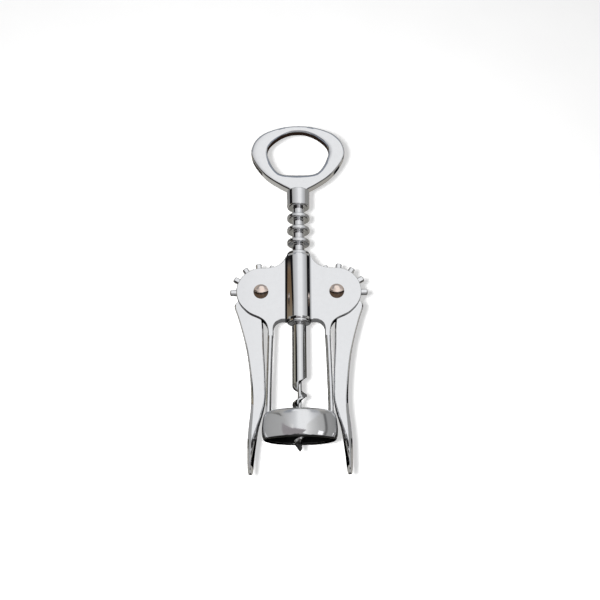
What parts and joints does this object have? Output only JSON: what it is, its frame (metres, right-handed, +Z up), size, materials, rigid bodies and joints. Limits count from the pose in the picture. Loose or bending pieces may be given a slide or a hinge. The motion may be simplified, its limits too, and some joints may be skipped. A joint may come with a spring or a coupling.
{
  "type": "wing corkscrew",
  "caption": "Wing corkscrew with an oval ring handle, a ringed rack, geared side levers, a bell that rests on the bottle and a helical worm.",
  "frame": {"origin": "middle of the bottom of the whole object as it lies flat with the levers down", "axes": "+X to the right across the levers, +Y along the spindle toward the handle, +Z up out of the cheek plates"},
  "size_m": [0.073, 0.195, 0.038],
  "materials": {
    "frame_chrome": "polished",
    "lever_chrome": "polished",
    "handle_chrome": "polished",
    "rack_chrome": "polished",
    "worm_chrome": "polished",
    "rivet_copper": "polished",
    "washer_steel": "satin",
    "liner_black": "gloss"
  },
  "bodies": {
    "frame": {"frame_casting": "frame_chrome", "bell_liner": "liner_black", "left_pivot_rivet": "rivet_copper", "right_pivot_rivet": "rivet_copper", "left_front_washer": "washer_steel", "left_back_washer": "washer_steel", "right_front_washer": "washer_steel", "right_back_washer": "washer_steel"},
    "rack": {"rack_sleeve": "rack_chrome"},
    "spindle": {"worm": "worm_chrome", "handle": "handle_chrome", "handle_cross_pin": "washer_steel", "upper_thrust_washer": "washer_steel", "lower_thrust_washer": "washer_steel"},
    "left_lever": {"left_lever": "lever_chrome"},
    "right_lever": {"right_lever": "lever_chrome"}
  },
  "joints": [
    {"name": "rack_slide", "type": "slide", "parent": "frame", "child": "rack", "axis": [0, -1, 0], "range_m": [0, 0.0365]},
    {"name": "spindle_spin", "type": "hinge", "parent": "rack", "child": "spindle", "pos_m": [0, 0, 0.019], "axis": [0, -1, 0], "continuous": true},
    {"name": "left_lever_hinge", "type": "hinge", "parent": "frame", "child": "left_lever", "pos_m": [-0.02, -0.0035, 0.019], "axis": [0, 0, -1], "range_deg": [0, 137.8]},
    {"name": "right_lever_hinge", "type": "hinge", "parent": "frame", "child": "right_lever", "pos_m": [0.02, -0.0035, 0.019], "axis": [0, 0, 1], "range_deg": [0, 137.8]}
  ],
  "couplings": [
    {"joint": "left_lever_hinge", "follows": "rack_slide", "rad_per_m": 65.848},
    {"joint": "right_lever_hinge", "follows": "rack_slide", "rad_per_m": 65.848}
  ]
}
